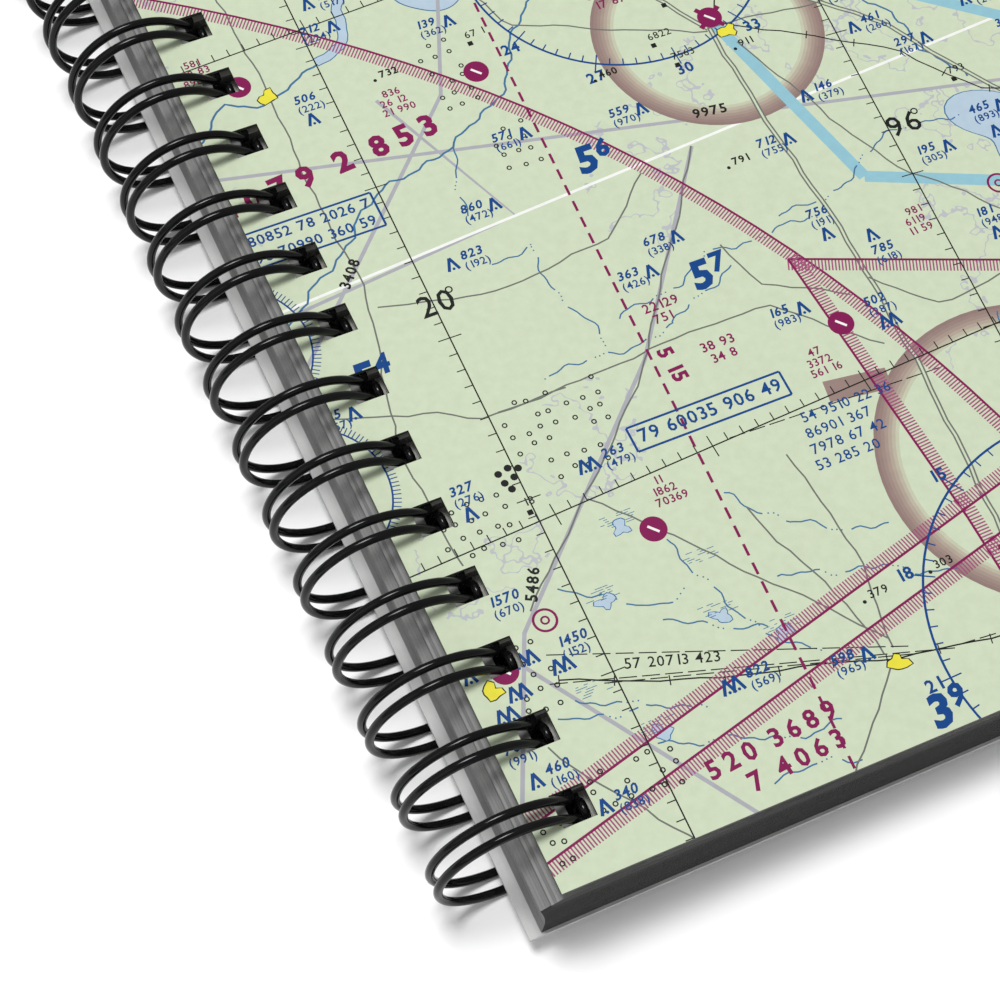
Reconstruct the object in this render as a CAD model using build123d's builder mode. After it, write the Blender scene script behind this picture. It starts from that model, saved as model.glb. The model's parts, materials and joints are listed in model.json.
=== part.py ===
from build123d import *
import os
from math import acos, atan2, cos, degrees, hypot, radians, sin

# Wire-bound pilot logbook, A5, lying closed on its back cover.
# X runs from the spine to the fore-edge, Y from the foot to the head, Z up from the table.
# The front cover's spine edge is at X = 0 and the foot edges are at Y = 0 while the
# pieces are drawn; every piece is then moved so that the origin is the centre of the
# bottom of the whole book. All sizes are in millimetres.

# ---- driving dimensions -------------------------------------------------------------
PAGE_WIDTH = 148.0
PAGE_HEIGHT = 210.0
COVER_THICKNESS = 0.45
BACK_THICKNESS = 0.50

# twin-loop binding, three loops to the inch
PITCH = 25.4 / 3
LOOPS = 24
WIRE_DIAMETER = 0.95
RING_RADIUS = 7.85
HALF_PAIR = 1.0
PAIR_OFFSET = -0.15
BEND_RADIUS = 0.9
STUB = 0.9

# punched holes
COVER_HOLE = 3.6
PAGE_HOLE = 4.0
COVER_MARGIN = 4.74
PAGE_MARGIN = 6.35

# sheets of writing paper, turned in packs
SHEETS = 70
SHEETS_PER_NODE = 2
PACK = 10
SHEET_THICKNESS = 0.10
FORE_PITCH = 0.11
SPINE_PITCH = 0.128
PACK_SETBACK = 0.3
BACK_OVERHANG = 2.75
AIR_GAP = 0.04
WIRE_ROOM = 1.3

# ---- heights above the table ---------------------------------------------------------
RING_X = -2.0
RING_Z = RING_RADIUS + WIRE_DIAMETER / 2
BACK_BOTTOM = RING_Z - 5.95
STACK_BOTTOM = BACK_BOTTOM + BACK_THICKNESS + AIR_GAP
STACK_TOP = STACK_BOTTOM + SHEETS * SPINE_PITCH
STACK_TOP_FORE = STACK_BOTTOM + SHEETS * FORE_PITCH
COVER_BOTTOM = STACK_TOP + WIRE_ROOM
BASE_X = 5.0
BASE_Z = COVER_BOTTOM - 0.60
TIP_Z = COVER_BOTTOM - 1.05

FIRST_LOOP = (PAGE_HEIGHT - (LOOPS - 1) * PITCH) / 2
LOW_X = RING_X - RING_RADIUS - WIRE_DIAMETER / 2
TO_ORIGIN = Location((-(LOW_X + PAGE_WIDTH) / 2, -PAGE_HEIGHT / 2 - PACK_SETBACK / 2, 0))


def leaf(spine_x, foot_y, bottom, fore_bottom, thickness, margin, hole):
    """A punched sheet or cover, its underside falling from the spine to the fore-edge."""
    fore_x = spine_x + PAGE_WIDTH
    with BuildPart() as blank:
        with BuildSketch(Plane.XZ.offset(-foot_y)):
            with BuildLine():
                Polyline(
                    (spine_x, bottom),
                    (fore_x, fore_bottom),
                    (fore_x, fore_bottom + thickness),
                    (spine_x, bottom + thickness),
                    close=True,
                )
            make_face()
        extrude(amount=-PAGE_HEIGHT)
        with BuildSketch(Plane.XY.offset(bottom - 2)):
            with Locations((spine_x + margin, foot_y + PAGE_HEIGHT / 2)):
                with GridLocations(0, PITCH, 1, LOOPS):
                    Rectangle(hole, hole)
        extrude(amount=4, mode=Mode.SUBTRACT)
    return blank.part


def save(solid, name):
    """Move a finished piece to the book's origin, label it and write it."""
    placed = solid.moved(TO_ORIGIN)
    placed.label = name
    export_step(placed, f"parts/{name}.step")


def spine_edge(sheet):
    """How far sheet number `sheet`, counted down from the front, stands out at the spine."""
    if sheet < 4:
        return -0.05 - 0.3 * sheet
    if sheet < PACK:
        return -0.95 + 0.05 * (sheet - 4)
    if sheet < PACK + 5:
        return -0.75 - 0.28 * (sheet - PACK)
    depth = (sheet - PACK - 5) / (SHEETS - PACK - 5)
    return -1.9 + 0.7 * sin(radians(180 * 0.8 * depth))


os.makedirs("parts", exist_ok=True)

# ---- covers --------------------------------------------------------------------------
back_cover = leaf(
    -BACK_OVERHANG, 0, BACK_BOTTOM, BACK_BOTTOM, BACK_THICKNESS, PAGE_MARGIN, PAGE_HOLE
)
save(back_cover, "back_cover")

front_cover = leaf(
    0, 0, COVER_BOTTOM, STACK_TOP_FORE + AIR_GAP, COVER_THICKNESS, COVER_MARGIN, COVER_HOLE
)
save(front_cover, "front_cover")

# ---- sheets, two to a node, numbered from the front -----------------------------------
for first in range(0, SHEETS, SHEETS_PER_NODE):
    with BuildPart() as sheets:
        for sheet in range(first, first + SHEETS_PER_NODE):
            level = SHEETS - 1 - sheet
            foot = 0 if sheet < PACK else PACK_SETBACK
            add(
                leaf(
                    spine_edge(sheet),
                    foot,
                    STACK_BOTTOM + level * SPINE_PITCH,
                    STACK_BOTTOM + level * FORE_PITCH,
                    SHEET_THICKNESS,
                    PAGE_MARGIN,
                    PAGE_HOLE,
                )
            )
    save(sheets.part, f"sheets_{first + 1:02d}_{first + SHEETS_PER_NODE:02d}")

# ---- twin-loop wire: one wire bent into 24 double loops ---------------------------------
# Each unit runs from the middle of one base bar to the middle of the next: in along
# the base, out through the front cover's hole, round the ring, up through the back
# cover and the sheets to the closed tip, and back the same way a little further on.
base_distance = hypot(BASE_X - RING_X, BASE_Z - RING_Z)
base_angle = degrees(atan2(BASE_Z - RING_Z, BASE_X - RING_X))
leave_angle = base_angle + degrees(acos(RING_RADIUS / base_distance))
leave_x = RING_X + RING_RADIUS * cos(radians(leave_angle))
leave_z = RING_Z + RING_RADIUS * sin(radians(leave_angle))
lead = Vector(leave_x - BASE_X, 0, leave_z - BASE_Z).normalized()
tip_x = RING_X + RING_RADIUS
half_bend = BEND_RADIUS * (1 - cos(radians(45)))


def half_loop(side, base_end):
    """Half of one double loop, from the base bar to the middle of the closed tip."""
    y = side * HALF_PAIR
    bar_end = Vector(BASE_X, side * (HALF_PAIR + BEND_RADIUS), BASE_Z)
    lead_start = Vector(BASE_X, y, BASE_Z) + lead * BEND_RADIUS
    bend_middle = Vector(BASE_X, y + side * half_bend, BASE_Z) + lead * half_bend
    leave = Vector(leave_x, y, leave_z)
    far = Vector(RING_X - RING_RADIUS, y, RING_Z)
    rise = Vector(tip_x, y, RING_Z)
    with BuildPart() as half:
        with BuildLine() as route:
            Line((BASE_X, base_end, BASE_Z), bar_end)
            ThreePointArc(bar_end, bend_middle, lead_start)
            Line(lead_start, leave)
            ThreePointArc(leave, far, rise)
            Line(rise, (tip_x, y, TIP_Z - HALF_PAIR))
            tip_side = side * HALF_PAIR * cos(radians(45))
            tip_height = TIP_Z - HALF_PAIR * (1 - sin(radians(45)))
            ThreePointArc(
                (tip_x, y, TIP_Z - HALF_PAIR), (tip_x, tip_side, tip_height), (tip_x, 0, TIP_Z)
            )
        with BuildSketch(Plane(origin=(BASE_X, base_end, BASE_Z), z_dir=(0, -side, 0))):
            Circle(WIRE_DIAMETER / 2)
        sweep(path=route.wires()[0])
    return half.part


bar_middle = PITCH / 2
stub_end = HALF_PAIR + BEND_RADIUS + STUB
middle_loop = [half_loop(-1, -bar_middle), half_loop(1, bar_middle)]
foot_half = half_loop(-1, -stub_end)
head_half = half_loop(1, stub_end)

with BuildPart() as twin_loop_wire:
    for loop in range(LOOPS):
        with Locations((0, FIRST_LOOP + PAIR_OFFSET + loop * PITCH, 0)):
            add(foot_half if loop == 0 else middle_loop[0])
            add(head_half if loop == LOOPS - 1 else middle_loop[1])

save(twin_loop_wire.part, "twin_loop_wire")

print("solids in the wire:", len(twin_loop_wire.part.solids()))
print("ring axis in the book's frame:", (TO_ORIGIN * Pos(RING_X, 0, RING_Z)).position)
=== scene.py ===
import json
import random
from math import acos, atan2, cos, hypot, pi, radians, sin

import bpy
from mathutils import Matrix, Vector
from mathutils.geometry import delaunay_2d_cdt


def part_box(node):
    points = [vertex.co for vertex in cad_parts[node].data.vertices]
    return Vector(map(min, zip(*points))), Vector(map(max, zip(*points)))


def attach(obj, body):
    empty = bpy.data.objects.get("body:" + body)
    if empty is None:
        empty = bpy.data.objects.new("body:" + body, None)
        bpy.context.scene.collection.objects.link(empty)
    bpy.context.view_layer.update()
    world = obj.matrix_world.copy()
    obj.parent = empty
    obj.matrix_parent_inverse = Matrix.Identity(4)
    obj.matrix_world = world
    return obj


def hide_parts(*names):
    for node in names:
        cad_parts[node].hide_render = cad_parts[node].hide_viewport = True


# Looks of the wire-bound pilot logbook. The frame is in metres; the chart printed on the
# front cover is drawn in millimetres from the cover's spine and foot edges.
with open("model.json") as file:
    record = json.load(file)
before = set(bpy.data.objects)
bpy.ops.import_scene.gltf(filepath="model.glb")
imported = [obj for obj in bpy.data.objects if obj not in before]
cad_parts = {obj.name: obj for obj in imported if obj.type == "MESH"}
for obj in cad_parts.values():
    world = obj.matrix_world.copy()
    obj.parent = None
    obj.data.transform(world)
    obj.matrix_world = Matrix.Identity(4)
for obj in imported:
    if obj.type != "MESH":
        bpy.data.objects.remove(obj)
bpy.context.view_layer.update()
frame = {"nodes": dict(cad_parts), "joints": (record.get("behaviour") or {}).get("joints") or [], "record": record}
MM = 0.001

cover_low, cover_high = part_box("front_cover")
back_low, back_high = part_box("back_cover")
wire_low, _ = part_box("twin_loop_wire")

# sizes shared with the CAD pieces, in metres
COVER_THICKNESS = 0.45 * MM
COVER_HOLE = 3.6 * MM
COVER_MARGIN = 4.74 * MM
PITCH = 25.4 * MM / 3
LOOPS = 24
WIRE_DIAMETER = 0.95 * MM
HALF_PAIR = 1.0 * MM
PAIR_OFFSET = -0.15 * MM
BEND_RADIUS = 0.9 * MM
STUB = 0.9 * MM
BASE_IN = 5.0 * MM
BASE_DROP = 0.60 * MM
TIP_DROP = 1.05 * MM
PACK_SETBACK = 0.3 * MM

# the pages' looks, in metres: grey margins of painted shade, the first page's strip of
# painted shade in the wire holes, and the ruling
SPINE_SHADE_MARGIN = 0.4 * MM
EDGE_SHADE_MARGIN = 0.4 * MM
HOLE_SHADE_STRIP = 4.7 * MM
ROW_STEP = 7 * MM
COLUMN_STEP = 15.5 * MM

# how much darker, in linear light, the inks are printed than their display colours
PRINT_DEPTH = 0.785

COVER_WIDTH = (cover_high.x - cover_low.x) / MM
COVER_HEIGHT = (cover_high.y - cover_low.y) / MM
COVER_FALL = cover_high.z - cover_low.z - COVER_THICKNESS
FIRST_HOLE = (COVER_HEIGHT * MM - (LOOPS - 1) * PITCH) / 2
ring_x, _, ring_z = frame["joints"][0]["pos_m"]
RING_RADIUS = ring_x - wire_low.x - WIRE_DIAMETER / 2


# ---- materials ----------------------------------------------------------------------


def linear(red, green, blue):
    """A colour given as 0 to 255 display values, as the shader's linear values."""
    parts = []
    for value in (red, green, blue):
        share = value / 255
        parts.append(share / 12.92 if share <= 0.04045 else ((share + 0.055) / 1.055) ** 2.4)
    return (*parts, 1.0)


def scaled(colour, factor):
    """A linear colour made lighter or darker."""
    return (*[min(1.0, part * factor) for part in colour[:3]], 1.0)


class Shader:
    """A small helper that adds nodes to one Principled material."""

    def __init__(self, name):
        self.material = bpy.data.materials.new(name)
        self.material.use_nodes = True
        self.tree = self.material.node_tree
        self.surface = self.tree.nodes["Principled BSDF"]
        self.place = self.tree.nodes.new("ShaderNodeTexCoord")

    def node(self, kind, inputs=(), **settings):
        made = self.tree.nodes.new(kind)
        for key, value in settings.items():
            setattr(made, key, value)
        for slot, value in dict(inputs).items():
            if isinstance(value, bpy.types.NodeSocket):
                self.tree.links.new(value, made.inputs[slot])
            else:
                made.inputs[slot].default_value = value
        return made

    def math(self, operation, first, second=0.0):
        return self.node("ShaderNodeMath", {0: first, 1: second}, operation=operation).outputs[0]

    def stretched(self, scale):
        """Object coordinates with their own scale along each axis."""
        facts = {"Vector": self.place.outputs["Object"], "Scale": scale}
        return self.node("ShaderNodeMapping", facts).outputs[0]

    def noise(self, scale, detail=2.0, roughness=0.5, vector=None):
        vector = vector or self.place.outputs["Object"]
        facts = {"Vector": vector, "Scale": scale, "Detail": detail, "Roughness": roughness}
        return self.node("ShaderNodeTexNoise", facts).outputs[0]

    def lines(self, along, step, share):
        """1 on lines that are step apart and that share of a step wide, otherwise 0."""
        return self.math("LESS_THAN", self.math("FRACT", self.math("DIVIDE", along, step)), share)

    def spread(self, value, low, high):
        """Map the middle of a noise's range onto low to high."""
        facts = {"Value": value, "From Min": 0.3, "From Max": 0.7, "To Min": low, "To Max": high}
        return self.node("ShaderNodeMapRange", facts).outputs[0]

    def mix(self, factor, first, second):
        mixed = self.node("ShaderNodeMix", data_type="RGBA")
        for index, value in ((0, factor), (6, first), (7, second)):
            if isinstance(value, bpy.types.NodeSocket):
                self.tree.links.new(value, mixed.inputs[index])
            else:
                mixed.inputs[index].default_value = value
        return mixed.outputs[2]

    def join(self, value, socket):
        self.tree.links.new(value, self.surface.inputs[socket])

    def bump(self, height, strength, distance):
        facts = {"Height": height, "Strength": strength, "Distance": distance}
        self.join(self.node("ShaderNodeBump", facts).outputs[0], "Normal")


def printed(name, colour, contours=False):
    """Printed and laminated card: an even ink with a faint mottle under a satin film."""
    shader = Shader(name)
    colour = scaled(colour, PRINT_DEPTH)
    mottle = shader.noise(900.0, 3.0)
    shade = shader.mix(shader.spread(mottle, 0.0, 1.0), scaled(colour, 0.965), scaled(colour, 1.035))
    if contours:
        shade = contour_lines(shader, shade)
    shader.join(shade, "Base Color")
    film = shader.noise(160.0, 4.0)
    shader.join(shader.spread(film, 0.48, 0.53), "Roughness")
    shader.bump(shader.noise(2600.0, 2.0), 0.12, 0.00003)
    shader.surface.inputs["Specular IOR Level"].default_value = 0.14
    return shader.material


def contour_lines(shader, ground):
    """Thin pale height lines in patches, as the ground of a chart has."""
    height = shader.noise(48.0, 5.0, 0.64)
    steps = shader.math("PINGPONG", shader.math("MULTIPLY", height, 7.0), 0.5)
    line = shader.math("LESS_THAN", steps, 0.03)
    patch = shader.math("GREATER_THAN", shader.noise(26.0, 1.0), 0.5)
    strength = shader.math("MULTIPLY", shader.math("MULTIPLY", line, patch), 0.85)
    return shader.mix(strength, ground, scaled(linear(188, 190, 200), PRINT_DEPTH))


def board(name, dark, light):
    """Raw fibre board, as on the inside of the cover; its darker copy on the cut edges is painted shade."""
    shader = Shader(name)
    fibre = shader.noise(700.0, 4.0, 0.6, shader.stretched((1.0, 0.35, 3.0)))
    tone = shader.spread(fibre, 0.0, 1.0)
    shader.join(shader.mix(tone, linear(*dark), linear(*light)), "Base Color")
    shader.join(shader.spread(fibre, 0.62, 0.8), "Roughness")
    shader.bump(fibre, 0.2, 0.00004)
    return shader.material


def back_card():
    """Plain grey card of the back cover."""
    shader = Shader("grey_card")
    fibre = shader.noise(520.0, 5.0, 0.62, shader.stretched((1.0, 0.3, 2.0)))
    cloud = shader.noise(45.0, 2.0)
    tone = shader.mix(shader.spread(fibre, 0.0, 1.0), linear(176, 176, 176), linear(198, 198, 197))
    shade = shader.mix(shader.spread(cloud, 0.0, 0.35), tone, linear(210, 210, 209))
    shader.join(shade, "Base Color")
    shader.join(shader.spread(fibre, 0.55, 0.75), "Roughness")
    shader.bump(fibre, 0.25, 0.00005)
    return shader.material


def paper(name, foot_dark, foot_light, setback, hole_shade=False):
    """Writing paper: ruled log pages on both faces, and cut edges in streaks of grey that is
    painted shade on white paper: lighter on the spine face, darker on the foot and head faces.

    A thin margin of each page has the edge's grey as painted shade in the gaps between the
    sheets, which would otherwise show as white lines. The foot edges stand back from the
    cover's by setback.
    """
    shader = Shader(name)
    place = shader.node("ShaderNodeSeparateXYZ", {0: shader.place.outputs["Object"]})
    facing = shader.node("ShaderNodeSeparateXYZ", {0: shader.place.outputs["Normal"]})
    x, y = place.outputs[0], place.outputs[1]
    fibre = shader.noise(1500.0, 3.0)
    page = shader.mix(shader.spread(fibre, 0.0, 1.0), linear(208, 207, 200), linear(218, 217, 211))
    rule = shader.lines(y, ROW_STEP, 0.05)
    column = shader.lines(x, COLUMN_STEP, 0.023)
    rules = shader.math("MAXIMUM", rule, column)
    inside = [
        shader.math("GREATER_THAN", x, cover_low.x + 12 * MM),
        shader.math("LESS_THAN", x, cover_high.x - 6 * MM),
        shader.math("GREATER_THAN", y, cover_low.y + 10 * MM),
        shader.math("LESS_THAN", y, cover_high.y - 14 * MM),
    ]
    for limit in inside:
        rules = shader.math("MULTIPLY", rules, limit)
    page = shader.mix(shader.math("MULTIPLY", rules, 0.85), page, linear(104, 124, 146))
    # Painted shade: the first page turns grey along the spine, where it shows through the cover's wire holes in
    # their shade.
    if hole_shade:
        near = shader.math("LESS_THAN", x, cover_low.x + HOLE_SHADE_STRIP)
        page = shader.mix(near, page, linear(126, 126, 125))
    # Painted shade on the cut edges: grey on white paper, lighter on the spine face, where the light falls, and
    # darker on the foot and head faces, in their shade.
    streak = shader.noise(1.0, 1.0, 0.5, shader.stretched((2.0, 1.5, 7200.0)))
    spine = shader.mix(shader.spread(streak, 0.0, 1.0), linear(112, 112, 112), linear(140, 140, 139))
    cut = shader.mix(shader.spread(streak, 0.0, 1.0), linear(*foot_dark), linear(*foot_light))
    to_foot = shader.math("GREATER_THAN", shader.math("ABSOLUTE", facing.outputs[1]), 0.7)
    edge = shader.mix(to_foot, spine, cut)
    flat = shader.math("GREATER_THAN", shader.math("ABSOLUTE", facing.outputs[2]), 0.7)
    # Painted shade in the gaps between sheets: a thin margin of each page face keeps the edge's grey.
    page_face = flat
    for limit in (
        shader.math("GREATER_THAN", x, cover_low.x + SPINE_SHADE_MARGIN),
        shader.math("GREATER_THAN", y, cover_low.y + setback + EDGE_SHADE_MARGIN),
        shader.math("LESS_THAN", y, cover_high.y + setback - EDGE_SHADE_MARGIN),
    ):
        page_face = shader.math("MULTIPLY", page_face, limit)
    shader.join(shader.mix(page_face, edge, page), "Base Color")
    shader.join(shader.spread(fibre, 0.7, 0.88), "Roughness")
    shader.bump(shader.math("ADD", fibre, shader.math("MULTIPLY", streak, 2.0)), 0.2, 0.00003)
    shader.surface.inputs["Specular IOR Level"].default_value = 0.08
    return shader.material


def coated_wire():
    """Black nylon coat over steel wire: deep black, glossy, with a slight orange peel."""
    shader = Shader("black_nylon_wire")
    peel = shader.noise(420.0, 3.0, 0.55)
    tone = shader.spread(peel, 0.0, 1.0)
    shader.join(shader.mix(tone, linear(6, 6, 7), linear(15, 15, 16)), "Base Color")
    shader.join(shader.spread(peel, 0.1, 0.17), "Roughness")
    shader.bump(peel, 0.2, 0.00005)
    shader.surface.inputs["Specular IOR Level"].default_value = 0.2
    return shader.material


def floor_paint():
    """Matt white studio floor."""
    shader = Shader("studio_floor")
    cloud = shader.noise(3.0, 2.0)
    shader.join(shader.mix(cloud, (0.93, 0.93, 0.93, 1), (0.96, 0.96, 0.96, 1)), "Base Color")
    shader.surface.inputs["Roughness"].default_value = 0.9
    return shader.material


# ---- the printed chart ---------------------------------------------------------------
# Every mark is a flat outline in millimetres; a later mark covers an earlier one. At the
# end they are cut against each other into one sheet, with a material for each ink.

INKS = {
    "ground": (211, 223, 194),
    "route": (176, 176, 184),
    "taupe_1": (149, 125, 120),
    "taupe_2": (155, 132, 125),
    "taupe_3": (162, 141, 132),
    "taupe_4": (171, 152, 141),
    "taupe_5": (181, 167, 152),
    "taupe_6": (191, 184, 164),
    "taupe_7": (202, 205, 179),
    "lake": (187, 208, 224),
    "airway": (150, 200, 214),
    "white": (250, 251, 247),
    "stream": (66, 116, 158),
    "road": (114, 118, 111),
    "black": (24, 26, 24),
    "comb": (164, 82, 122),
    "magenta": (134, 16, 84),
    "blue": (2, 68, 138),
    "yellow": (240, 230, 66),
}
HOLE = "hole"
SMALLEST_MARK = 0.0004
JOIN_WITHIN = 1e-6

# sizes of the chart's symbols, in millimetres
AIRSPACE_WIDTH = 2.7
ROAD_WIDTH = 0.19
STREAM_WIDTH = 0.17
WELL_STEP = 1.75
AIRFIELD_RADIUS = 1.45
MAST_HEIGHT = 1.65
MAST_FOOT = 0.62
MAST_PAIR = 1.05
HEIGHT_SIZE = 1.1
BRACKET_SIZE = 0.95

# tints in an airspace ring, how many symbols are scattered, and the size of the chart's
# corner by spine and foot, where most masts are listed one by one instead
RING_TINTS = 7
SYMBOLS = 235
MOST_TRIES = 6000
HAND_PLACED = (64, 96)

marks = []
taken = []
chance = random.Random(7)


def turns(outline):
    """Twice the signed area of the corner at each point of an outline."""
    around = zip(outline[-1:] + outline[:-1], outline, outline[1:] + outline[:1])
    return [
        (b[0] - a[0]) * (c[1] - b[1]) - (b[1] - a[1]) * (c[0] - b[0]) for a, b, c in around
    ]


def paint(ink, outline):
    """Add one filled outline; a four-sided one that folds over itself goes in as triangles."""
    doubled = sum(a[0] * b[1] - b[0] * a[1] for a, b in zip(outline, outline[1:] + outline[:1]))
    bends = turns(outline)
    if len(outline) == 4 and min(bends) < 0 < max(bends):
        paint(ink, outline[:3])
        paint(ink, outline[2:] + outline[:1])
    elif abs(doubled) > SMALLEST_MARK:
        marks.append((ink, outline if doubled > 0 else outline[::-1]))


def sides(points, half):
    """The two edges of a line of that half width through the points."""
    left, right = [], []
    for i, (x, y) in enumerate(points):
        before = points[max(i - 1, 0)]
        after = points[min(i + 1, len(points) - 1)]
        run = hypot(after[0] - before[0], after[1] - before[1]) or 1.0
        nx = -(after[1] - before[1]) / run * half
        ny = (after[0] - before[0]) / run * half
        left.append((x + nx, y + ny))
        right.append((x - nx, y - ny))
    return left, right


def stroke(ink, points, width):
    """A line of even width through the points."""
    left, right = sides(points, width / 2)
    for i in range(len(points) - 1):
        paint(ink, [right[i], right[i + 1], left[i + 1], left[i]])


def walk(points, step):
    """Places every step millimetres along the points, each with its direction."""
    places, left_over = [], 0.0
    for (ax, ay), (bx, by) in zip(points, points[1:]):
        run = hypot(bx - ax, by - ay)
        if run == 0:
            continue
        dx, dy = (bx - ax) / run, (by - ay) / run
        at = left_over
        while at < run:
            places.append((ax + dx * at, ay + dy * at, dx, dy))
            at += step
        left_over = at - run
    return places


def dashes(ink, points, width, dash, gap):
    """A broken line."""
    for x, y, dx, dy in walk(points, dash + gap):
        stroke(ink, [(x, y), (x + dx * dash, y + dy * dash)], width)


def ticks(ink, points, step, length, width, side, every=0):
    """Short lines off one side (+1 left, -1 right); each every-th one crosses the line."""
    for i, (x, y, dx, dy) in enumerate(walk(points, step)):
        nx, ny = -dy * side, dx * side
        long = every and i % every == 0
        back = length * 1.4 if long else 0.0
        reach = length * 1.4 if long else length
        stroke(ink, [(x - nx * back, y - ny * back), (x + nx * reach, y + ny * reach)], width)


def curve(start, bend, end):
    """Points on the smooth curve from start to end that leans towards bend."""
    count = 24
    points = []
    for i in range(count + 1):
        t = i / count
        shares = ((1 - t) ** 2, 2 * t * (1 - t), t * t)
        points.append(tuple(sum(s * v for s, v in zip(shares, along)) for along in zip(start, bend, end)))
    return points


def arc(centre, radius, start, end, step=6):
    """Points on a circle between two angles in degrees."""
    count = max(2, round(abs(end - start) / step))
    angles = [radians(start + (end - start) * i / count) for i in range(count + 1)]
    return [(centre[0] + radius * cos(a), centre[1] + radius * sin(a)) for a in angles]


def wander(points, sway, step=1.1):
    """A natural line near the given points: a smooth random sideways drift."""
    phases = [chance.uniform(0, 2 * pi) for _ in range(4)]
    lengths = [chance.uniform(a, b) for a, b in ((22, 34), (9, 14), (4, 6), (2, 3))]
    shares = (0.5, 0.28, 0.15, 0.09)
    made = []
    for i, (x, y, dx, dy) in enumerate(walk(points, step)):
        away = sum(
            share * sin(2 * pi * i * step / length + phase)
            for share, length, phase in zip(shares, lengths, phases)
        )
        made.append((x - dy * away * sway, y + dx * away * sway))
    return made


def disc(ink, centre, radius, count=20):
    paint(ink, arc(centre, radius, 0, 360 - 360 / count, 360 / count))


def ring(ink, centre, radius, width, count=12):
    stroke(ink, arc(centre, radius, 0, 360, 360 / count), width)


def blob(edge, ink, centre, radius, line, uneven=0.25, count=26):
    """An irregular closed patch with a drawn edge, for a lake or a town."""
    phases = [chance.uniform(0, 2 * pi) for _ in range(3)]
    shapes = [[], []]
    for i in range(count):
        a = 2 * pi * i / count
        swell = sum(sin((k + 2) * a + phase) for k, phase in enumerate(phases)) / 3
        for shape, grown in zip(shapes, (line, 0.0)):
            reach = radius * (1 + uneven * swell) + grown
            shape.append((centre[0] + reach * 1.15 * cos(a), centre[1] + reach * sin(a)))
    paint(edge, shapes[0])
    paint(ink, shapes[1])


glyphs = {}
LIGHT, MEDIUM, BOLD = 0.008, 0.028, 0.042


def glyph(sign, weight):
    """Triangles of one digit or bracket, one unit high, and how wide it is."""
    if (sign, weight) not in glyphs:
        font = bpy.data.curves.new("digit", "FONT")
        font.body = sign
        font.resolution_u = 2
        font.offset = weight
        holder = bpy.data.objects.new("digit", font)
        mesh = bpy.data.meshes.new_from_object(holder)
        tall = max(v.co.y for v in mesh.vertices)
        shapes = [[tuple(mesh.vertices[i].co.xy / tall) for i in p.vertices] for p in mesh.polygons]
        glyphs[sign, weight] = (shapes, max(v.co.x for v in mesh.vertices) / tall)
        bpy.data.objects.remove(holder)
        bpy.data.curves.remove(font)
        bpy.data.meshes.remove(mesh)
    return glyphs[sign, weight]


def number(ink, text, x, y, size, turn=0.0, spacing=0.13, slant=0.0, weight=MEDIUM):
    """A row of digits with its lower left corner at x, y."""
    at = 0.0
    along, up = cos(radians(turn)), sin(radians(turn))
    for sign in text:
        if sign == " ":
            at += 0.5
            continue
        shapes, wide = glyph(sign, weight)
        for shape in shapes:
            outline = []
            for gx, gy in shape:
                px, py = (at + gx + slant * gy) * size, gy * size
                outline.append((x + px * along - py * up, y + px * up + py * along))
            paint(ink, outline)
        at += wide + spacing


def digits(count):
    """A random number with that many digits."""
    return str(chance.randrange(10 ** (count - 1), 10**count))


def label(ink, x, y, length, size=1.05, turn=0.0, weight=LIGHT):
    """A label with no words in it: groups of random digits, about length long."""
    groups = []
    left = length / size
    while left > 1.2:
        count = min(chance.randint(2, 5), max(1, int(left / 0.72)))
        groups.append(digits(count))
        left -= 0.72 * count + 0.5
    number(ink, " ".join(groups), x, y, size, turn, 0.1, weight=weight)


def meridian(x, lean):
    """A line of longitude with a tick for each minute."""
    line = [(x, -2), (x + lean * (COVER_HEIGHT + 4), COVER_HEIGHT + 2)]
    stroke("black", line, 0.16)
    ticks("black", line, 2.08, 0.95, 0.13, 1, every=10)


def parallel(y, lean):
    """A line of latitude with a tick for each minute."""
    line = [(-2, y), (COVER_WIDTH + 2, y + lean * (COVER_WIDTH + 4))]
    stroke("black", line, 0.16)
    ticks("black", line, 1.85, 0.95, 0.13, 1, every=10)


def boundary(points, side):
    """The edge of a special-use area: a magenta line with a comb inside."""
    ticks("comb", points, 0.37, 1.45, 0.17, side)
    stroke("magenta", points, 0.27)


def compass(centre, radius, start, end):
    """A compass circle round a radio station, with its degree marks."""
    line = arc(centre, radius, start, end, 3)
    stroke("blue", line, 0.26)
    ticks("blue", line, radius * pi / 36, 0.9, 0.16, 1, every=6)


def airspace(centre, radius):
    """A ring of controlled airspace, darkest along its outer edge."""
    band = AIRSPACE_WIDTH / RING_TINTS
    for i in range(RING_TINTS):
        middle = radius - band * (i + 0.5)
        stroke(f"taupe_{i + 1}", arc(centre, middle, 0, 360, 5), band)


def road(points):
    stroke("road", wander(points, 0.5, 1.6), ROAD_WIDTH)


def highway(points):
    """A dual road: a grey line with a pale middle."""
    line = wander(points, 0.4, 2.0)
    stroke("road", line, 0.62)
    stroke("ground", line, 0.24)


def railway(points):
    line = wander(points, 0.35, 2.0)
    stroke("black", line, 0.17)
    for x, y, dx, dy in walk(line, 5.5):
        stroke("black", [(x - dy * 0.55, y + dx * 0.55), (x + dy * 0.55, y - dx * 0.55)], 0.13)


def stream(points):
    """A small stream: runs of crooked line with three dots between."""
    line = wander(points, 1.5, 0.5)
    run, gap = 14, 4
    for start in range(0, len(line), run):
        stroke("stream", line[start : start + run - gap], STREAM_WIDTH)
        for x, y in line[start + run - gap : start + run - 1]:
            disc("stream", (x, y), 0.1, 6)


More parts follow.
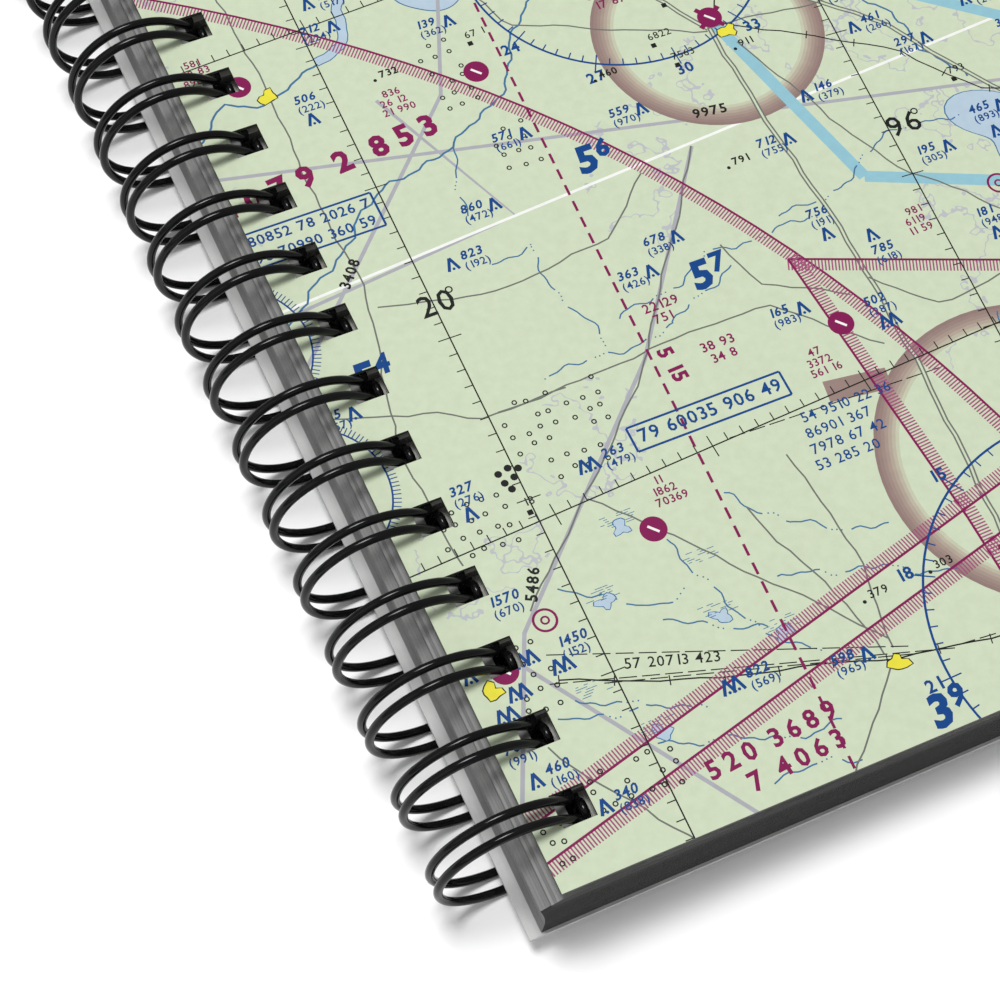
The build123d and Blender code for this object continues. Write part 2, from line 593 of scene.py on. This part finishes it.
def marsh(centre):
    """A pond or a wet patch: short strokes in rows, some with open water."""
    if chance.random() < 0.6:
        blob("stream", "lake", centre, 0.75, 0.11, 0.75, 16)
    for row in range(6):
        for _ in range(3):
            x = centre[0] + chance.uniform(-2.0, 1.4)
            y = centre[1] + 0.3 + row * 0.26
            stroke("stream", [(x, y), (x + chance.uniform(0.3, 0.9), y)], 0.08)


def claim(x, y, left, right, down, up):
    """Keep a patch of the chart, round x, y, for one symbol."""
    taken.append((x - left, y - down, x + right, y + up))


def room(x, y, left, right, down, up):
    """Whether a patch of the chart is still free; if so, it is claimed."""
    for west, south, east, north in taken:
        if x - left < east and x + right > west and y - down < north and y + up > south:
            return False
    claim(x, y, left, right, down, up)
    return True


def mast_sign(x, y, double=False):
    """The obstacle mark alone: a peak over a dot, or two side by side for a group."""
    for shift in (0.0, MAST_PAIR) if double else (0.0,):
        for foot in (-MAST_FOOT, MAST_FOOT):
            stroke("blue", [(x + shift + foot, y), (x + shift, y + MAST_HEIGHT)], 0.35)
        disc("blue", (x + shift, y + 0.2), 0.18, 8)


def mast_heights(x, y, count):
    """The two heights beside a mast, above the sea and above the ground."""
    number("blue", digits(count), x, y, HEIGHT_SIZE, slant=0.2)
    number("blue", f"({digits(3)})", x, y - 1.35, BRACKET_SIZE, spacing=0.1, weight=LIGHT * 2)


def mast(x, y, double, place):
    """An obstacle mark with its heights, if there is room for it."""
    extra = MAST_PAIR if double else 0.0
    reach = {
        "right": (0.8, 4.4 + extra, 0.8, 2.1),
        "left": (4.1, 1.0 + extra, 0.8, 2.1),
        "above": (1.4, 2.3, 0.3, 4.3),
        "below": (1.4, 2.3, 3.0, 1.8),
    }[place]
    if not room(x, y, *reach):
        return False
    mast_sign(x, y, double)
    row = {
        "right": (1.2 + extra, 0.9),
        "left": (-3.8, 0.9),
        "above": (-1.1, 3.3),
        "below": (-1.1, -1.6),
    }[place]
    mast_heights(x + row[0], y + row[1], 3)
    return True


def airfield(x, y, public):
    """A filled magenta airfield disc with its runway bar; four stubs on a public one."""
    if public:
        for turn in range(0, 360, 90):
            a = radians(turn + 35)
            tip = (x + cos(a) * AIRFIELD_RADIUS * 1.35, y + sin(a) * AIRFIELD_RADIUS * 1.35)
            stroke("magenta", [(x, y), tip], 0.6)
    disc("magenta", (x, y), AIRFIELD_RADIUS, 28)
    stroke("white", [(x - 0.45, y + 0.5), (x + 0.45, y - 0.5)], 0.28)


def field_name(x, y):
    """Three rows of digits beside an airfield."""
    for rise, inset, length in ((0.0, 0.0, 4.0), (1.25, 0.2, 3.6), (2.5, 0.9, 2.2)):
        label("magenta", x + inset, y + rise, length, 0.95, weight=LIGHT * 2)


def private_field(x, y):
    """An open magenta ring."""
    ring("magenta", (x, y), 1.2, 0.27, 24)
    ring("magenta", (x, y), 0.4, 0.22, 12)


def wells(x, y, columns, rows):
    """A field of oil wells: small open circles in loose rows."""
    for i in range(columns):
        for j in range(rows):
            if chance.random() < 0.82:
                px = x + i * WELL_STEP + chance.uniform(-0.35, 0.35)
                py = y + j * WELL_STEP + chance.uniform(-0.35, 0.35)
                ring("black", (px, py), 0.24, 0.15, 9)


def spot(x, y):
    """A spot height: a dot and a black number."""
    if not room(x, y, 0.5, 3.2, 0.5, 1.4):
        return False
    disc("black", (x, y), 0.22, 8)
    text = digits(3)
    weight = MEDIUM if chance.random() < 0.5 else LIGHT * 2
    number("black", text, x + 0.7, y + 0.1, 0.95, weight=weight)
    return True


def ranch(x, y):
    """A lone building with a label."""
    length = chance.uniform(2.6, 4.6)
    if not room(x, y, 0.6, length + 0.6, 0.6, 2.2):
        return False
    stroke("black", [(x - 0.3, y), (x + 0.3, y)], 0.6)
    label("black", x - 0.2, y + 0.8, length, 0.95)
    return True


def place_name(ink, x, y):
    """A label that stands alone, with a second row where it is a field's."""
    length = chance.uniform(3.4, 5.6)
    if not room(x, y, 0.4, length + 0.6, 1.8, 1.6):
        return False
    label(ink, x, y, length, 1.15, weight=LIGHT * 2)
    if ink == "magenta":
        label(ink, x + 0.5, y - 1.6, length - 1.0, 1.1, weight=LIGHT * 2)
    return True


def note_box(x, y, width, height, rows):
    """A boxed note with rows of digits for its words."""
    corners = [(x, y), (x + width, y), (x + width, y + height), (x, y + height), (x, y)]
    for start, end in zip(corners, corners[1:]):
        stroke("blue", [start, end], 0.26)
    for row in range(rows):
        level = y + (height / rows) * (row + 0.5) - 0.62
        label("blue", x + 0.8, level, width - 1.6, 1.3 if rows > 1 else 1.55, weight=LIGHT * 2)
    claim(x, y, 0.2, width, 0.2, height)


def grid_height(x, y):
    """The large two-part figure in each quarter of the grid."""
    y -= 0.8
    number("blue", chance.choice("2345"), x, y, 3.5, slant=0.14, weight=BOLD)
    number("blue", chance.choice("2346789"), x + 2.7, y + 1.4, 2.4, slant=0.14, weight=BOLD)
    claim(x, y, 0.4, 5.2, 0.4, 4.4)


def draw_ground():
    """Water, routes and rings: the broad pale shapes, lowest first."""
    for centre, radius in (((87, 62), 6), ((34, 105.5), 4.5), ((122, 176), 9), ((20, 150), 5)):
        blob("stream", "lake", centre, radius, 0.14, 0.5, 60)
    for line in (
        [(-2, 89), (150, 53)],
        [(-2, 61), (27, 90), (40, 122)],
        [(20, 92), (28, 72), (-2, 69)],
        [(50, 73), (33, 50), (8, 26), (0, 9)],
        [(5, 25), (22, -2)],
        [(40, 122), (70, 212)],
        [(90, 212), (150, 120)],
        [(-2, 150), (150, 190)],
    ):
        stroke("route", line, 0.45)
    stroke("white", [(-2, 70), (150, 80)], 0.34)
    for centre, radius in (
        ((59, 87), 13.5), ((67, 24), 18), ((95, 96), 13.5), ((112, 150), 15), ((36, 176), 13.5)
    ):
        airspace(centre, radius)
    stroke("taupe_2", [(49, 39), (56, 38)], 2.6)
    for line in (
        [(60, 88), (66, 62)], [(66, 62), (150, 24)], [(66, 97), (150, 28)], [(112, 150), (59, 212)]
    ):
        stroke("airway", line, 1.5)


def draw_water():
    """The river and the small streams."""
    for line in (
        [(0, 68), (11, 78), (26, 83), (31, 87), (43, 99), (48, 120)],
        [(48, 120), (80, 160), (118, 170)],
        [(84, 70), (74, 92), (92, 125)],
    ):
        stroke("stream", wander(line, 1.6, 0.7), 0.24)
    arm = wander([(27, 118), (21, 106), (19, 101), (15.5, 99.3)], 1.0, 0.7)
    stroke("stream", arm, 1.25)
    stroke("lake", arm, 1.0)
    stroke("stream", wander([(15.8, 99.4), (12, 98), (8, 96), (4, 97), (-2, 92)], 1.0, 0.7), 0.26)
    for line in (
        [(23, 67), (28, 68), (29, 53)], [(26, 83), (22, 74)], [(26, 30), (29, 20), (34, 12)],
        [(13, 29), (20, 25), (26, 24)], [(21, 21), (31, 17)], [(10, 18), (15, 14), (22, 11)],
        [(7, 15), (15, 14)], [(15, 10), (33, 5)], [(24, 3), (33, 0)], [(34, 21), (53, 16)],
        [(33, 32), (38, 26), (48, 23)], [(33, 55), (45, 60), (60, 58)], [(55, 60), (72, 66), (80, 65)],
        [(47, 57), (38, 52), (22, 53)],
    ):
        stream(line)
    for centre in ((22, 33), (28, 26), (17, 26), (27, 20), (32, 16), (16, 11), (12, 17)):
        marsh(centre)
    for _ in range(34):
        x, y = chance.uniform(4, 140), chance.uniform(4, 200)
        if x > 62 or y > 100:
            stream([(x, y), (x + chance.uniform(-6, 12), y - chance.uniform(3, 12))])


def draw_roads():
    """Roads, railways and pipelines."""
    highway([(59, 87), (60, 62), (60, 38), (58, 20), (56, -2)])
    highway([(69, 90), (79, 79), (86, 67), (112, 40), (150, 30)])
    highway([(59, 87), (40, 122), (44, 212)])
    for line in (
        [(50, 73), (44, 65), (34, 51), (20, 37), (9, 28)],
        [(43, 72), (36, 65), (20, 64), (8, 67)],
        [(34, 51), (48, 51), (58, 42)],
        [(16, 50), (34, 51)],
        [(9, 118), (9, 70), (5, 50), (5, 35)],
        [(-2, 56), (10, 53), (14, 50), (24, 50)],
        [(20, 37), (26, 31), (33, 22), (42, 10)],
        [(42, 34), (43, 22), (41, 10)],
        [(35, 30), (39, 17), (40, 9)],
        [(5, 14), (15, -2)],
        [(30, -2), (36, 4), (41, 9)],
        [(59, 87), (47, 92), (38, 96), (30, 118)],
        [(59, 87), (74, 86), (96, 84), (150, 96)],
        [(61, 84), (70, 62), (88, 40), (96, -2)],
        [(47, 60), (49, 54), (58, 48)],
        [(60, 50), (66, 44), (74, 45), (90, 44)],
        [(96, 84), (110, 120), (112, 150), (140, 212)],
        [(-2, 130), (40, 122), (96, 84)],
        [(112, 150), (60, 150), (-2, 176)],
        [(120, -2), (112, 40), (126, 90), (150, 130)],
        [(36, 212), (36, 176), (20, 130)],
    ):
        road(line)
    for line in (
        [(9, 20), (24, 14), (41, 9), (54, 7), (150, 2)],
        [(60, 88), (78, 76), (84, 68), (104, 60), (150, 62)],
        [(112, 150), (84, 130), (60, 88)],
        [(-2, 150), (36, 176), (90, 212)],
    ):
        railway(line)
    for line in (
        [(9, 23), (42, 10)], [(13, 18), (42, 9)], [(8, 20), (46, 8), (150, -2)], [(37, 38), (62, 37)]
    ):
        dashes("black", line, 0.13, 1.8, 0.5)


def draw_limits():
    """Area boundaries, the grid, compass circles and the isogonic line."""
    boundary(curve((-3, 118), (51, 83), (66, 24)) + [(72, -2)], -1)
    boundary([(53, 55.5), (150, 15)], -1)
    boundary([(53, 55.5), (55.5, 20), (56, -2)], 1)
    boundary([(-2, 6.7), (150, 44.5)], 1)
    boundary([(-2, 2.8), (150, 39.5)], -1)
    boundary(curve((-3, 160), (80, 130), (151, 176)), 1)
    boundary([(88, 212), (118, 118), (151, 104)], -1)
    dashes("magenta", [(31.5, -2), (40.5, 212)], 0.31, 1.4, 0.85)
    for column in range(3):
        meridian(14 + 53 * column, 0.017 + 0.05 * column)
    for row in range(3):
        parallel(36 + 67.5 * row, 0.049)
    stations = (((54, 103), 18), ((67, 5), 22), ((112, 150), 20))
    for centre, radius in stations:
        compass(centre, radius, 0, 360)
    for turn in range(0, 360, 30):
        for centre, radius in stations:
            x, y = arc(centre, radius + 1.9, turn, turn + 1)[0]
            number("blue", str(turn // 10 + 3), x - 0.9, y - 0.7, 1.4)
    for centre, radius, start in (((-7, 67), 8.5, -60), ((-6, 48), 8.5, -60)):
        line = arc(centre, radius, start, start + 120, 6)
        stroke("blue", line, 0.2)
        ticks("blue", line, 0.45, 0.9, 0.12, -1)


def draw_fields():
    """Towns, wells and airfields."""
    for x, y in ((41, 8.5), (2.5, 21.5), (9, 97), (61, 86), (112, 149), (37, 175), (96, 85)):
        blob("black", "yellow", (x, y), 0.85, 0.13, 0.6, 12)
        claim(x, y, 1.2, 1.2, 1.2, 1.2)
    for x, y, columns, rows in (
        (16, 45, 7, 4), (19, 41, 4, 2), (5, 36, 5, 4), (7, 6, 6, 3), (5, 18, 3, 5), (27, 88, 3, 6),
        (30, 78, 3, 4), (1, 3, 2, 3), (96, 120, 6, 5), (20, 136, 5, 4), (70, 176, 5, 5), (122, 60, 5, 5),
    ):
        wells(x, y, columns, rows)
    for x, y, public in (
        (60, 88.5, True), (54.5, 46, False), (25, 31.5, False), (32, 91.5, False), (6.5, 99.5, False),
        (4.5, 23, False), (112, 152, True), (36, 176, True), (124, 110, False), (72, 134, False),
    ):
        airfield(x, y, public)
        claim(x, y, 1.6, 1.6, 1.6, 1.6)
    for x, y in (
        (20, 89.5), (48.5, 41), (26.5, 33.5), (67, 53), (1, 101.5), (112.5, 154), (124.5, 112), (72.5, 136)
    ):
        field_name(x, y)
        claim(x, y, 0.3, 4.4, 0.4, 3.8)
    for x, y in ((10.5, 26.5), (79.5, 55.5), (16, 128), (130, 84)):
        private_field(x, y)
        claim(x, y, 1.4, 1.4, 1.4, 1.4)


def draw_figures():
    """The large figures, route numbers and notes, and a cluster of black dots."""
    for x, y in (
        (37, 75), (42, 56.5), (41, 1.5), (3.5, 58.5), (73, 130), (20, 160), (98, 30), (124, 30), (96, 186)
    ):
        grid_height(x, y)
    number("magenta", "4079 2 853", -1.5, 83.2, 2.8, turn=5, spacing=0.42, weight=BOLD)
    claim(0, 83, 0, 27, 1.5, 6.5)
    number("magenta", "520 3689", 18.2, 4.6, 2.0, turn=5, spacing=0.36)
    number("magenta", "7 4063", 21.5, 1.9, 2.0, turn=5, spacing=0.36)
    claim(18.5, 2, 0.5, 16.5, 0.5, 6.8)
    number("magenta", "5 15", 34.6, 50.5, 1.7, turn=-87, weight=BOLD)
    claim(34, 44, 0.5, 2.4, 0.5, 7)
    for text, x, y in (("20", 13.4, 63.6), ("96", 71.5, 65.4)):
        number("black", text, x, y, 2.7, weight=LIGHT)
        ring("black", (x + 4.0, y + 2.4), 0.36, 0.17, 12)
        claim(x, y, 0.3, 4.8, 0.3, 3.2)
    for x, y in (
        (13.2, 42.2), (14.4, 42.5), (13.0, 43.4), (14.2, 43.7), (13.6, 41.3), (15.2, 43.3)
    ):
        disc("black", (x, y), 0.42, 10)
    claim(14, 42.5, 1.6, 2, 1.8, 2)
    for x, y, turn in ((7.6, 70, 50), (10.6, 28.6, 62), (52, 76.3, -8), (84, 120, 30), (60, 160, 20)):
        number("black", digits(4), x, y, 1.25, turn)
        claim(x, y, 1, 4, 1, 4)
    note_box(27.5, 40.2, 18, 3.0, 1)
    note_box(-1, 76.2, 15.5, 4.6, 2)
    note_box(96, 160, 20, 4.6, 2)
    label("black", 15.5, 18.6, 11.0, 1.15, turn=-18)
    claim(15.5, 14.5, 0.2, 11, 0.2, 5)
    for row in range(4):
        label("blue", 45 - 0.4 * row, 36.6 - 1.9 * row, 10.5 - row, 1.2, weight=LIGHT)
    claim(44, 31, 0.2, 12, 0.5, 7)


def draw_masts():
    """The masts that are listed one by one: a crowd at the spine, then single ones."""
    for x, y, double in ((6.5, 22.6, True), (9.5, 20.6, True), (4.3, 19.6, True), (2.2, 17.8, True)):
        mast_sign(x, y, double)
    mast_sign(1, 23)
    for x, y in ((10.5, 23.2), (6, 29.8), (0.8, 14.8)):
        mast_heights(x, y, 4)
    claim(0, 14, 1, 15, 1, 17)
    for x, y, double, side in (
        (24, 12, True, "right"), (38.5, 9.8, False, "left"), (51.5, 48.5, False, "left"),
        (60.5, 69, False, "left"), (12.5, 91.5, False, "above"), (19, 68, False, "right"),
        (38.5, 59, False, "left"), (43, 62, False, "left"), (58.5, 56, False, "above"),
        (63, 54, False, "below"), (59, 43.5, True, "above"), (47, 79, False, "left"),
        (21.5, 40, True, "right"), (7.5, 5.5, False, "right"), (8.5, 39.5, False, "above"),
        (32, 98.5, False, "left"), (2.5, 10.5, False, "right"),
    ):
        mast(x, y, double, side)


def scatter_symbols():
    """Masts, spot heights, lone buildings and labels wherever there is room."""
    tries = placed = 0
    while placed < SYMBOLS and tries < MOST_TRIES:
        tries += 1
        x, y = chance.uniform(2, 144), chance.uniform(2, 206)
        kind = chance.random()
        side = chance.choice(("right", "right", "left", "left", "above", "below"))
        if x < HAND_PLACED[0] and y < HAND_PLACED[1] and kind < 0.45:
            continue
        if kind < 0.6:
            placed += mast(x, y, kind < 0.08, side)
        elif kind < 0.74:
            placed += spot(x, y)
        elif kind < 0.87:
            placed += ranch(x, y)
        else:
            placed += place_name("black" if kind < 0.95 else "magenta", x, y)


def punch_holes():
    """The square holes for the wire, last because they cut everything."""
    half = COVER_HOLE / MM / 2
    for loop in range(LOOPS):
        x, y = COVER_MARGIN / MM, (FIRST_HOLE + loop * PITCH) / MM
        west, east, south, north = x - half, x + half, y - half, y + half
        paint(HOLE, [(west, south), (east, south), (east, north), (west, north)])


def on_cover(x, y, drop=0.0):
    """A point of the cover's sloping face, in metres, from chart millimetres."""
    fall = COVER_FALL * x / COVER_WIDTH
    return (cover_low.x + x * MM, cover_low.y + y * MM, cover_high.z - fall - drop)


def printed_cover():
    """The front cover as one closed card whose top face is cut along the print."""
    paint("ground", [(0, 0), (COVER_WIDTH, 0), (COVER_WIDTH, COVER_HEIGHT), (0, COVER_HEIGHT)])
    draw_ground()
    draw_water()
    draw_roads()
    draw_limits()
    draw_fields()
    draw_figures()
    draw_masts()
    scatter_symbols()
    punch_holes()
    corners, outlines = [], []
    for _, outline in marks:
        outlines.append(list(range(len(corners), len(corners) + len(outline))))
        corners.extend(Vector(point) for point in outline)
    places, _, triangles, _, _, owners = delaunay_2d_cdt(corners, [], outlines, 0, JOIN_WITHIN, True)
    slots = list(INKS)
    kept, inks = [], []
    for triangle, owner in zip(triangles, owners):
        if 0 in owner and marks[max(owner)][0] != HOLE:
            kept.append(tuple(triangle))
            inks.append(slots.index(marks[max(owner)][0]))
    uses = {}
    for triangle in kept:
        for a, b in zip(triangle, triangle[1:] + triangle[:1]):
            uses[(a, b)] = True
    rim = [(a, b) for a, b in uses if (b, a) not in uses]
    top_index, points = {}, []
    for index in sorted({i for triangle in kept for i in triangle}):
        top_index[index] = len(points)
        points.append(on_cover(*places[index]))
    low_index = {}
    for index in sorted({i for edge in rim for i in edge}):
        low_index[index] = len(points)
        points.append(on_cover(*places[index], COVER_THICKNESS))
    faces = [tuple(top_index[i] for i in triangle) for triangle in kept]
    for a, b in rim:
        faces.append((low_index[a], low_index[b], top_index[b], top_index[a]))
    faces.extend(underside(places, rim, low_index))
    mesh = bpy.data.meshes.new("printed_front_cover")
    mesh.from_pydata(points, [], faces)
    inks += [len(INKS)] * len(rim)
    inks += [len(INKS) + 1] * (len(faces) - len(inks))
    mesh.polygons.foreach_set("material_index", inks)
    for ink, colour in INKS.items():
        mesh.materials.append(printed(f"print_{ink}", linear(*colour), contours=ink == "ground"))
    # The cut edges' dark board is painted shade; the inside's light board is the card's own tone.
    mesh.materials.append(board("cut_card_painted_shade", (62, 62, 61), (84, 84, 82)))
    mesh.materials.append(board("card_inside", (204, 205, 199), (214, 215, 209)))
    mesh.update()
    piece = bpy.data.objects.new("printed_front_cover", mesh)
    bpy.context.scene.collection.objects.link(piece)
    return piece


def underside(places, rim, low_index):
    """Triangles of the cover's inside face, between the same edge points as the top."""
    keys = list(low_index)
    number_of = {key: i for i, key in enumerate(keys)}
    spots = [places[key] for key in keys]
    edges = [(number_of[a], number_of[b]) for a, b in rim]
    _, _, triangles, origins, _, _ = delaunay_2d_cdt(spots, edges, [], 0, 1e-4, True)
    half = COVER_HOLE / MM / 2
    faces = []
    for triangle in triangles:
        corner = [keys[origins[i][0]] for i in triangle]
        x = sum(places[i].x for i in corner) / 3
        y = sum(places[i].y for i in corner) / 3
        row = round((y * MM - FIRST_HOLE) / PITCH)
        hole_y = (FIRST_HOLE + row * PITCH) / MM
        if abs(x - COVER_MARGIN / MM) > half or abs(y - hole_y) > half:
            faces.append(tuple(low_index[i] for i in reversed(corner)))
    return faces


# ---- the wire --------------------------------------------------------------------------


def wire_half(side):
    """Points of half a double loop, from the end of its base bar to the middle of its tip."""
    base_x = cover_low.x + BASE_IN
    base_z = cover_high.z - COVER_THICKNESS - BASE_DROP
    tip_z = cover_high.z - COVER_THICKNESS - TIP_DROP
    away = hypot(base_x - ring_x, base_z - ring_z)
    leave = atan2(base_z - ring_z, base_x - ring_x) + acos(RING_RADIUS / away)
    leave_x, leave_z = ring_x + RING_RADIUS * cos(leave), ring_z + RING_RADIUS * sin(leave)
    lead = Vector((leave_x - base_x, 0, leave_z - base_z)).normalized()
    y = side * HALF_PAIR
    points = []
    for i in range(9):
        turn = pi / 2 * i / 8
        bend = Vector((base_x, y, base_z)) + lead * BEND_RADIUS
        bend.y += side * BEND_RADIUS
        bend += -lead * BEND_RADIUS * cos(turn) + Vector((0, -side * BEND_RADIUS * sin(turn), 0))
        points.append(bend)
    steps = 84
    for i in range(steps + 1):
        a = leave + (2 * pi - leave) * i / steps
        points.append(Vector((ring_x + RING_RADIUS * cos(a), y, ring_z + RING_RADIUS * sin(a))))
    tip_x = ring_x + RING_RADIUS
    for i in range(8):
        a = pi / 2 * i / 7
        points.append(
            Vector((tip_x, side * HALF_PAIR * cos(a), tip_z - HALF_PAIR + HALF_PAIR * sin(a)))
        )
    return points


def twin_loop_wire():
    """One wire bent into all the double loops, as a tube along its middle line."""
    near, far = wire_half(-1), wire_half(1)
    stub = HALF_PAIR + BEND_RADIUS + STUB
    first_y = cover_low.y + FIRST_HOLE + PAIR_OFFSET
    loops = near + far[-2::-1]
    base = near[0]
    line = [Vector((base.x, first_y - stub, base.z))]
    for loop in range(LOOPS):
        line.extend(point + Vector((0, first_y + loop * PITCH, 0)) for point in loops)
    line.append(Vector((base.x, first_y + (LOOPS - 1) * PITCH + stub, base.z)))
    path = bpy.data.curves.new("wire_path", "CURVE")
    path.dimensions = "3D"
    path.bevel_depth = WIRE_DIAMETER / 2
    path.bevel_resolution = 5
    path.use_fill_caps = True
    spline = path.splines.new("POLY")
    spline.points.add(len(line) - 1)
    for point, place in zip(spline.points, line):
        point.co = (*place, 1.0)
    holder = bpy.data.objects.new("wire_path", path)
    bpy.context.scene.collection.objects.link(holder)
    mesh = bpy.data.meshes.new_from_object(holder)
    bpy.data.objects.remove(holder)
    bpy.data.curves.remove(path)
    mesh.name = "black_twin_loop_wire"
    mesh.polygons.foreach_set("use_smooth", [True] * len(mesh.polygons))
    mesh.materials.clear()
    mesh.materials.append(coated_wire())
    piece = bpy.data.objects.new("black_twin_loop_wire", mesh)
    bpy.context.scene.collection.objects.link(piece)
    return piece


# ---- floor, light and camera -------------------------------------------------------------


def studio_floor():
    """A pale floor that touches the rings' lowest line and the back cover's fore-edge."""
    reach = 3.0
    slope = back_low.z / (back_high.x - ring_x)
    mesh = bpy.data.meshes.new("floor")
    square = ((-reach, -reach), (reach, -reach), (reach, reach), (-reach, reach))
    corners = [(x, y, (x - ring_x) * slope) for x, y in square]
    mesh.from_pydata(corners, [], [(0, 1, 2, 3)])
    mesh.materials.append(floor_paint())
    floor = bpy.data.objects.new("floor", mesh)
    bpy.context.scene.collection.objects.link(floor)


def soft_light(name, place, size, power):
    """A square area light that looks at the book."""
    lamp = bpy.data.lights.new(name, "AREA")
    lamp.shape = "SQUARE"
    lamp.size = size
    lamp.energy = power
    holder = bpy.data.objects.new(name, lamp)
    holder.location = place
    holder.rotation_mode = "QUATERNION"
    holder.rotation_quaternion = (-Vector(place)).to_track_quat("-Z", "Y")
    bpy.context.scene.collection.objects.link(holder)


def camera():
    """The camera, low over the foot of the spine."""
    lens = bpy.data.cameras.new("camera")
    lens.sensor_width = 36.0
    lens.lens = 88.3
    lens.clip_start = 0.01
    holder = bpy.data.objects.new("camera", lens)
    holder.location = (-0.1116, -0.1677, 0.2350)
    holder.rotation_euler = (radians(27.73), radians(-1.91), radians(-24.31))
    bpy.context.scene.collection.objects.link(holder)
    bpy.context.scene.camera = holder


def sky():
    """An even white surround."""
    world = bpy.data.worlds.new("studio")
    bpy.context.scene.world = world
    world.use_nodes = True
    surround = world.node_tree.nodes["Background"]
    surround.inputs["Color"].default_value = (1, 1, 1, 1)
    surround.inputs["Strength"].default_value = 0.4


# ---- put together ------------------------------------------------------------------------
camera()
sky()
soft_light("key", (-0.28, 0.34, 2.0), 0.7, 34.5)
soft_light("fill", (-1.8, -0.6, 1.4), 1.8, 5.6)
studio_floor()
bpy.context.scene.view_settings.view_transform = "Standard"

cover_piece = printed_cover()
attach(cover_piece, "front")
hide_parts("front_cover")

wire_piece = twin_loop_wire()
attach(wire_piece, "wire")
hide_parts("twin_loop_wire")

grey_card = back_card()
# The foot tones are painted shade; the lower pack's darker ones add painted shade under the upper pack's overhang,
# and the first page carries the painted shade in the wire holes.
first_paper = paper("first_log_paper", (62, 62, 62), (82, 82, 81), 0.0, hole_shade=True)
upper_paper = paper("upper_log_paper", (62, 62, 62), (82, 82, 81), 0.0)
lower_paper = paper("lower_log_paper", (38, 38, 38), (58, 58, 57), PACK_SETBACK)
for name, node in frame["nodes"].items():
    if name == "back_cover":
        finish = grey_card
    elif name == "sheets_01_02":
        finish = first_paper
    elif name in frame["record"]["behaviour"]["bodies"]["pack_1"]:
        finish = upper_paper
    elif name.startswith("sheets"):
        finish = lower_paper
    else:
        continue
    for index in range(len(node.material_slots)):
        node.material_slots[index].material = finish
